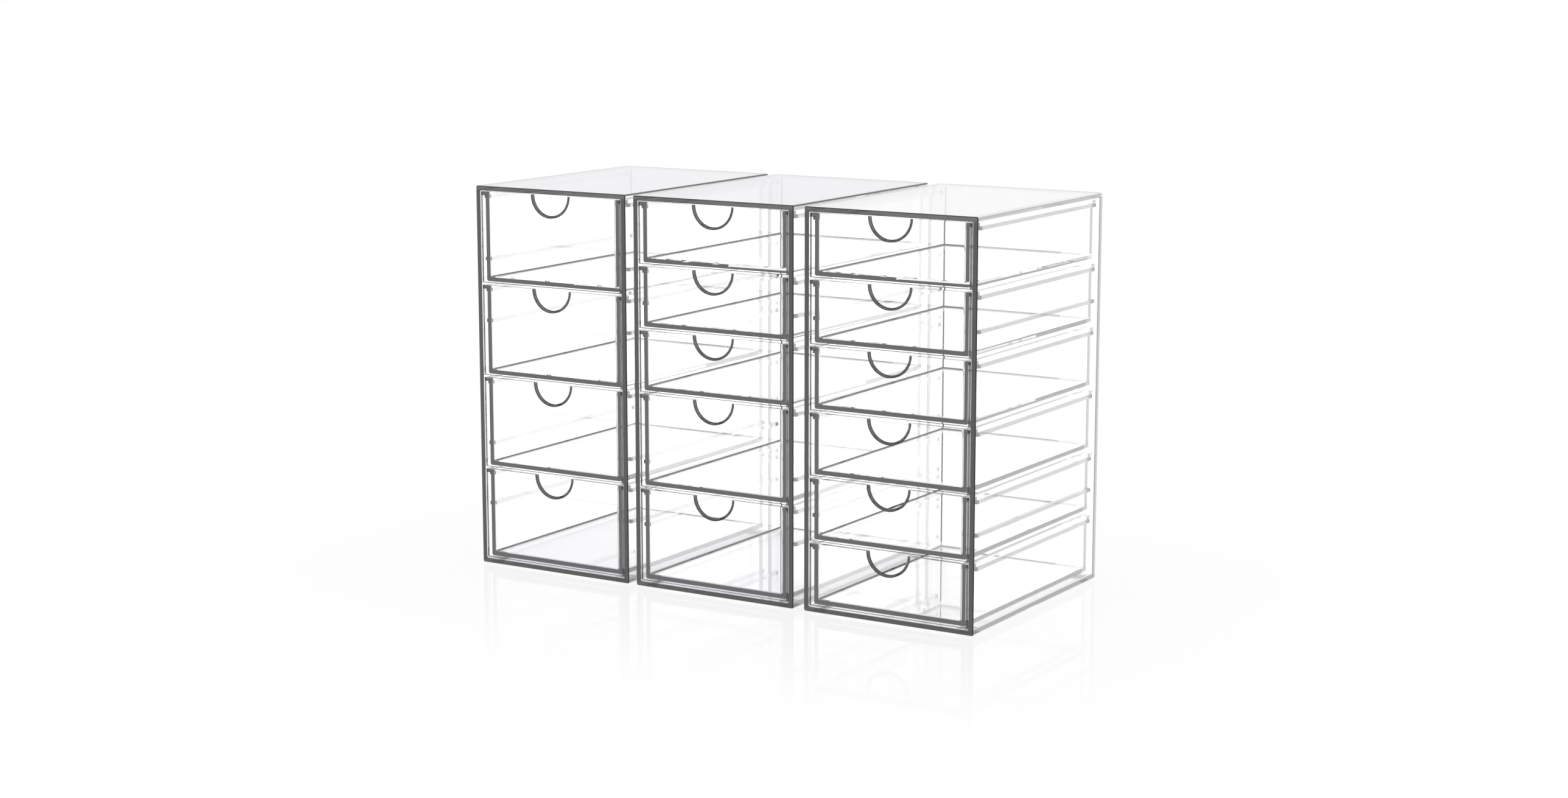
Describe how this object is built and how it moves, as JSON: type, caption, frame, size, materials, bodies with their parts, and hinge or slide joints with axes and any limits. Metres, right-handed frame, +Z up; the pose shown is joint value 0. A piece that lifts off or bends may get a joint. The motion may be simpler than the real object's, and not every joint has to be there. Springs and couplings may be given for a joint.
{
  "type": "clear drawer organizer set",
  "caption": "Row of clear upright cases, each holding a stack of slide-out trays with half-round finger notches in their fronts, hung on side runners and standing on small foot pads.",
  "frame": {"origin": "centre of the set's footprint, on the surface it stands on, under the foot pads", "axes": "+X to the right along the fronts, +Y from the drawer fronts to the back, +Z up; the drawers pull out along -Y"},
  "size_m": [0.3644, 0.169, 0.25],
  "materials": {
    "case_clear": "clear polished",
    "runner_clear": "clear, cut edges",
    "drawer_clear": "clear polished",
    "foot_pad": "clear matte"
  },
  "bodies": {
    "cases": {"tower_a_shell": "case_clear", "tower_a_runners_left": "runner_clear", "tower_a_runners_right": "runner_clear", "tower_a_feet": "foot_pad", "tower_b_shell": "case_clear", "tower_b_runners_left": "runner_clear", "tower_b_runners_right": "runner_clear", "tower_b_feet": "foot_pad", "tower_c_shell": "case_clear", "tower_c_runners_left": "runner_clear", "tower_c_runners_right": "runner_clear", "tower_c_feet": "foot_pad"},
    "tower_a_drawer_1": {"tower_a_drawer_1": "drawer_clear"},
    "tower_a_drawer_2": {"tower_a_drawer_2": "drawer_clear"},
    "tower_a_drawer_3": {"tower_a_drawer_3": "drawer_clear"},
    "tower_a_drawer_4": {"tower_a_drawer_4": "drawer_clear"},
    "tower_b_drawer_1": {"tower_b_drawer_1": "drawer_clear"},
    "tower_b_drawer_2": {"tower_b_drawer_2": "drawer_clear"},
    "tower_b_drawer_3": {"tower_b_drawer_3": "drawer_clear"},
    "tower_b_drawer_4": {"tower_b_drawer_4": "drawer_clear"},
    "tower_b_drawer_5": {"tower_b_drawer_5": "drawer_clear"},
    "tower_c_drawer_1": {"tower_c_drawer_1": "drawer_clear"},
    "tower_c_drawer_2": {"tower_c_drawer_2": "drawer_clear"},
    "tower_c_drawer_3": {"tower_c_drawer_3": "drawer_clear"},
    "tower_c_drawer_4": {"tower_c_drawer_4": "drawer_clear"},
    "tower_c_drawer_5": {"tower_c_drawer_5": "drawer_clear"},
    "tower_c_drawer_6": {"tower_c_drawer_6": "drawer_clear"}
  },
  "joints": [
    {"name": "tower_a_drawer_1_slide", "type": "slide", "parent": "cases", "child": "tower_a_drawer_1", "axis": [0, -1, 0], "range_m": [0, 0.125]},
    {"name": "tower_a_drawer_2_slide", "type": "slide", "parent": "cases", "child": "tower_a_drawer_2", "axis": [0, -1, 0], "range_m": [0, 0.125]},
    {"name": "tower_a_drawer_3_slide", "type": "slide", "parent": "cases", "child": "tower_a_drawer_3", "axis": [0, -1, 0], "range_m": [0, 0.125]},
    {"name": "tower_a_drawer_4_slide", "type": "slide", "parent": "cases", "child": "tower_a_drawer_4", "axis": [0, -1, 0], "range_m": [0, 0.125]},
    {"name": "tower_b_drawer_1_slide", "type": "slide", "parent": "cases", "child": "tower_b_drawer_1", "axis": [0, -1, 0], "range_m": [0, 0.125]},
    {"name": "tower_b_drawer_2_slide", "type": "slide", "parent": "cases", "child": "tower_b_drawer_2", "axis": [0, -1, 0], "range_m": [0, 0.125]},
    {"name": "tower_b_drawer_3_slide", "type": "slide", "parent": "cases", "child": "tower_b_drawer_3", "axis": [0, -1, 0], "range_m": [0, 0.125]},
    {"name": "tower_b_drawer_4_slide", "type": "slide", "parent": "cases", "child": "tower_b_drawer_4", "axis": [0, -1, 0], "range_m": [0, 0.125]},
    {"name": "tower_b_drawer_5_slide", "type": "slide", "parent": "cases", "child": "tower_b_drawer_5", "axis": [0, -1, 0], "range_m": [0, 0.125]},
    {"name": "tower_c_drawer_1_slide", "type": "slide", "parent": "cases", "child": "tower_c_drawer_1", "axis": [0, -1, 0], "range_m": [0, 0.125]},
    {"name": "tower_c_drawer_2_slide", "type": "slide", "parent": "cases", "child": "tower_c_drawer_2", "axis": [0, -1, 0], "range_m": [0, 0.125]},
    {"name": "tower_c_drawer_3_slide", "type": "slide", "parent": "cases", "child": "tower_c_drawer_3", "axis": [0, -1, 0], "range_m": [0, 0.125]},
    {"name": "tower_c_drawer_4_slide", "type": "slide", "parent": "cases", "child": "tower_c_drawer_4", "axis": [0, -1, 0], "range_m": [0, 0.125]},
    {"name": "tower_c_drawer_5_slide", "type": "slide", "parent": "cases", "child": "tower_c_drawer_5", "axis": [0, -1, 0], "range_m": [0, 0.125]},
    {"name": "tower_c_drawer_6_slide", "type": "slide", "parent": "cases", "child": "tower_c_drawer_6", "axis": [0, -1, 0], "range_m": [0, 0.125]}
  ]
}
